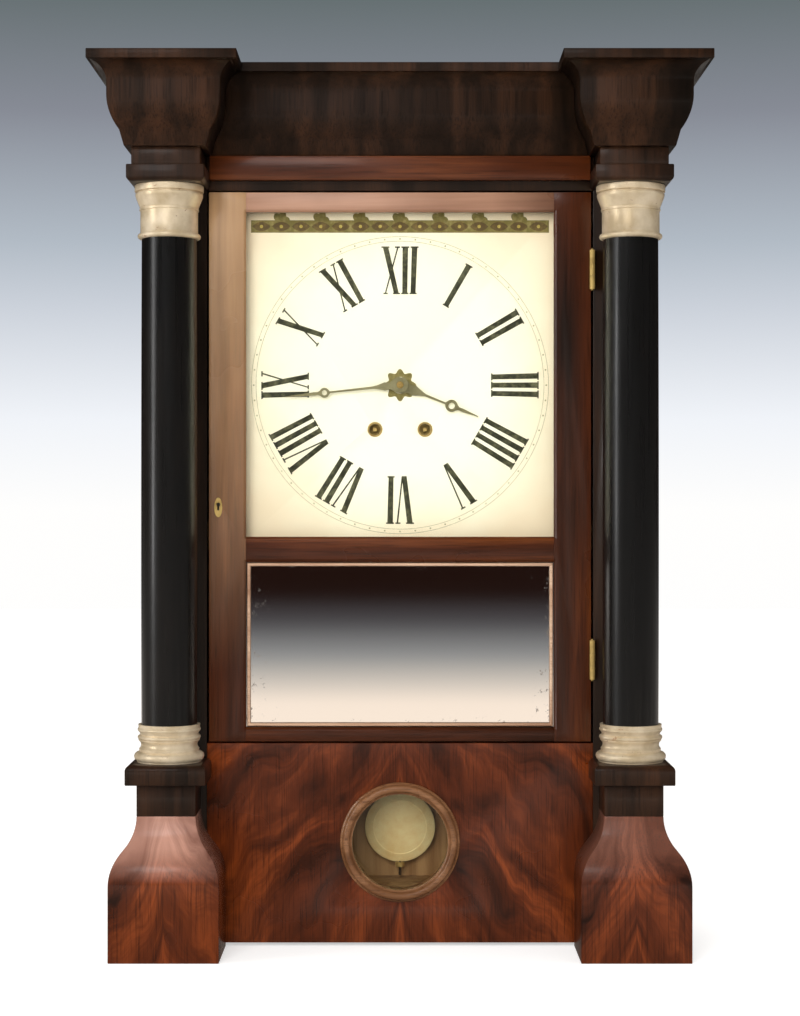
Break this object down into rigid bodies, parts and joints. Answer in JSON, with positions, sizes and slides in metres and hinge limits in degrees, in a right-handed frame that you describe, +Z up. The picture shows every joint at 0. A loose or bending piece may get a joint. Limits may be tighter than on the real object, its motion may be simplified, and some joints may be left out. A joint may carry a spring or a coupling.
{
  "type": "empire shelf clock",
  "caption": "Weight driven striking shelf clock with a broken out cornice, full round columns, block feet and a glazed and mirrored door.",
  "frame": {"origin": "on the floor under the middle of the overall box", "axes": "+X to the right as seen from the front, +Y to the back, +Z up"},
  "size_m": [0.521, 0.182, 0.762],
  "materials": {
    "mahogany": "shellac polish",
    "crotch_mahogany": "shellac polish over crotch veneer",
    "ebonised_wood": "black polish",
    "gilt": "burnished gold leaf, worn",
    "pine": "plain",
    "brass": "satin",
    "steel": "satin",
    "blued_steel": "dark",
    "iron": "rough cast",
    "glass": "clear",
    "mirror": "old silvering",
    "painted_dial": "matt oil paint",
    "cord": "woven"
  },
  "bodies": {
    "case": {"feet": "crotch_mahogany", "column_necks": "mahogany", "column_slabs": "mahogany", "column_bases": "gilt", "column_shafts": "ebonised_wood", "column_capitals": "gilt", "cornice_breaks": "mahogany", "cornice_centre": "mahogany", "cornice_slab": "mahogany", "architrave_strip": "mahogany", "case_sides": "mahogany", "back_board": "pine", "case_boards": "pine", "front_frame": "mahogany", "base_panel": "crotch_mahogany", "window_ring": "mahogany", "window_glass": "glass", "hinge_case_leaves": "brass", "dial": "painted_dial", "dial_blocks": "pine", "bell": "brass", "front_plate": "brass", "back_plate": "brass", "plate_pillars": "brass", "pulley_brackets": "steel", "cords_over_pulleys": "cord", "time_cord_hanging": "cord", "strike_cord_hanging": "cord"},
    "door": {"door_stiles": "crotch_mahogany", "door_rails": "mahogany", "door_glass": "glass", "mirror": "mirror", "door_backing": "pine", "escutcheon": "brass", "lock_case": "steel", "hinge_door_leaves": "brass"},
    "lock_bolt": {"lock_bolt": "steel"},
    "minute_arbor": {"centre_wheel": "brass", "minute_hand": "blued_steel"},
    "hour_pipe": {"hour_wheel": "brass", "hour_hand": "blued_steel"},
    "minute_wheel": {"minute_wheel": "brass"},
    "time_great_wheel": {"time_great_wheel": "brass"},
    "third_wheel": {"third_wheel": "brass"},
    "escape_wheel": {"escape_wheel": "brass"},
    "pendulum": {"pendulum_rod": "steel", "pendulum_bob": "brass"},
    "verge": {"verge_and_crutch": "steel"},
    "rating_nut": {"rating_nut": "brass"},
    "time_weight": {"time_weight": "iron"},
    "time_drum": {"time_drum": "brass"},
    "time_pulley": {"time_pulley": "brass"},
    "strike_weight": {"strike_weight": "iron"},
    "strike_drum": {"strike_drum": "brass"},
    "strike_pulley": {"strike_pulley": "brass"},
    "pin_wheel": {"pin_wheel": "brass"},
    "strike_great_wheel": {"strike_great_wheel": "brass"},
    "locking_wheel": {"locking_wheel": "brass"},
    "fly": {"fly": "brass"},
    "hammer": {"hammer": "steel"}
  },
  "joints": [
    {"name": "door_hinge", "type": "hinge", "parent": "case", "child": "door", "pos_m": [0.167, -0.0075, 0.41675], "axis": [0, 0, 1], "range_deg": [0, 95]},
    {"name": "lock_bolt_slide", "type": "slide", "parent": "door", "child": "lock_bolt", "axis": [-1, 0, 0], "range_m": [0, 0.005]},
    {"name": "minute_turn", "type": "hinge", "parent": "case", "child": "minute_arbor", "pos_m": [0, 0.0305, 0.489], "axis": [0, 1, 0], "continuous": true},
    {"name": "hour_turn", "type": "hinge", "parent": "case", "child": "hour_pipe", "pos_m": [0, 0.0155, 0.489], "axis": [0, 1, 0], "continuous": true},
    {"name": "minute_wheel_turn", "type": "hinge", "parent": "case", "child": "minute_wheel", "pos_m": [0, 0.0285, 0.507], "axis": [0, 1, 0], "continuous": true},
    {"name": "time_great_turn", "type": "hinge", "parent": "case", "child": "time_great_wheel", "pos_m": [-0.022, 0.0305, 0.45005], "axis": [0, 1, 0], "continuous": true},
    {"name": "third_turn", "type": "hinge", "parent": "case", "child": "third_wheel", "pos_m": [-0.0096, 0.0305, 0.5152], "axis": [0, 1, 0], "continuous": true},
    {"name": "escape_turn", "type": "hinge", "parent": "case", "child": "escape_wheel", "pos_m": [0, 0.0305, 0.53374], "axis": [0, 1, 0], "continuous": true},
    {"name": "pendulum_swing", "type": "hinge", "parent": "case", "child": "pendulum", "pos_m": [0, 0.0735, 0.561], "axis": [0, 1, 0], "range_deg": [-3, 3]},
    {"name": "verge_rock", "type": "hinge", "parent": "case", "child": "verge", "pos_m": [0, 0.0305, 0.561], "axis": [0, 1, 0], "range_deg": [-3, 3]},
    {"name": "rating_nut_turn", "type": "hinge", "parent": "pendulum", "child": "rating_nut", "pos_m": [0, 0.0735, 0.06], "axis": [0, 0, 1], "continuous": true},
    {"name": "time_weight_travel", "type": "slide", "parent": "case", "child": "time_weight", "axis": [0, 0, 1], "range_m": [0, 0.37071], "deforming": ["time_cord_hanging"]},
    {"name": "time_drum_turn", "type": "hinge", "parent": "case", "child": "time_drum", "pos_m": [-0.022, 0.0435, 0.45005], "axis": [0, 1, 0], "range_deg": [0, 1800.02]},
    {"name": "time_pulley_turn", "type": "hinge", "parent": "case", "child": "time_pulley", "pos_m": [-0.1497, 0.0435, 0.64], "axis": [0, 1, 0], "range_deg": [0, 2062.16]},
    {"name": "strike_weight_travel", "type": "slide", "parent": "case", "child": "strike_weight", "axis": [0, 0, 1], "range_m": [0, 0.18535], "deforming": ["strike_cord_hanging"]},
    {"name": "strike_drum_turn", "type": "hinge", "parent": "case", "child": "strike_drum", "pos_m": [0.022, 0.0435, 0.45005], "axis": [0, 1, 0], "range_deg": [-899.99, 0]},
    {"name": "strike_pulley_turn", "type": "hinge", "parent": "case", "child": "strike_pulley", "pos_m": [0.1497, 0.0435, 0.64], "axis": [0, 1, 0], "range_deg": [-1031.06, 0]},
    {"name": "pin_wheel_turn", "type": "hinge", "parent": "case", "child": "pin_wheel", "pos_m": [0.04, 0.0305, 0.48278], "axis": [0, 1, 0], "continuous": true},
    {"name": "strike_great_turn", "type": "hinge", "parent": "case", "child": "strike_great_wheel", "pos_m": [0.022, 0.0305, 0.45005], "axis": [0, 1, 0], "continuous": true},
    {"name": "locking_turn", "type": "hinge", "parent": "case", "child": "locking_wheel", "pos_m": [0.033, 0.0305, 0.50372], "axis": [0, 1, 0], "continuous": true},
    {"name": "fly_turn", "type": "hinge", "parent": "case", "child": "fly", "pos_m": [0.035, 0.0305, 0.5204], "axis": [0, 1, 0], "continuous": true},
    {"name": "hammer_swing", "type": "hinge", "parent": "case", "child": "hammer", "pos_m": [0.062, 0.0305, 0.48278], "axis": [0, 1, 0], "range_deg": [-12, 0]}
  ],
  "couplings": [
    {"joint": "hour_turn", "follows": "minute_turn", "ratio": 0.083333},
    {"joint": "minute_wheel_turn", "follows": "minute_turn", "ratio": -0.33333},
    {"joint": "time_great_turn", "follows": "minute_turn", "ratio": -0.16667},
    {"joint": "third_turn", "follows": "minute_turn", "ratio": -9},
    {"joint": "escape_turn", "follows": "minute_turn", "ratio": 63},
    {"joint": "verge_rock", "follows": "pendulum_swing", "ratio": 1},
    {"joint": "time_drum_turn", "follows": "time_weight_travel", "rad_per_m": 84.746},
    {"joint": "time_pulley_turn", "follows": "time_weight_travel", "rad_per_m": 97.087},
    {"joint": "strike_drum_turn", "follows": "strike_weight_travel", "rad_per_m": -84.746},
    {"joint": "strike_pulley_turn", "follows": "strike_weight_travel", "rad_per_m": -97.087},
    {"joint": "strike_great_turn", "follows": "pin_wheel_turn", "ratio": -0.15385},
    {"joint": "locking_turn", "follows": "pin_wheel_turn", "ratio": -7},
    {"joint": "fly_turn", "follows": "pin_wheel_turn", "ratio": 42}
  ]
}
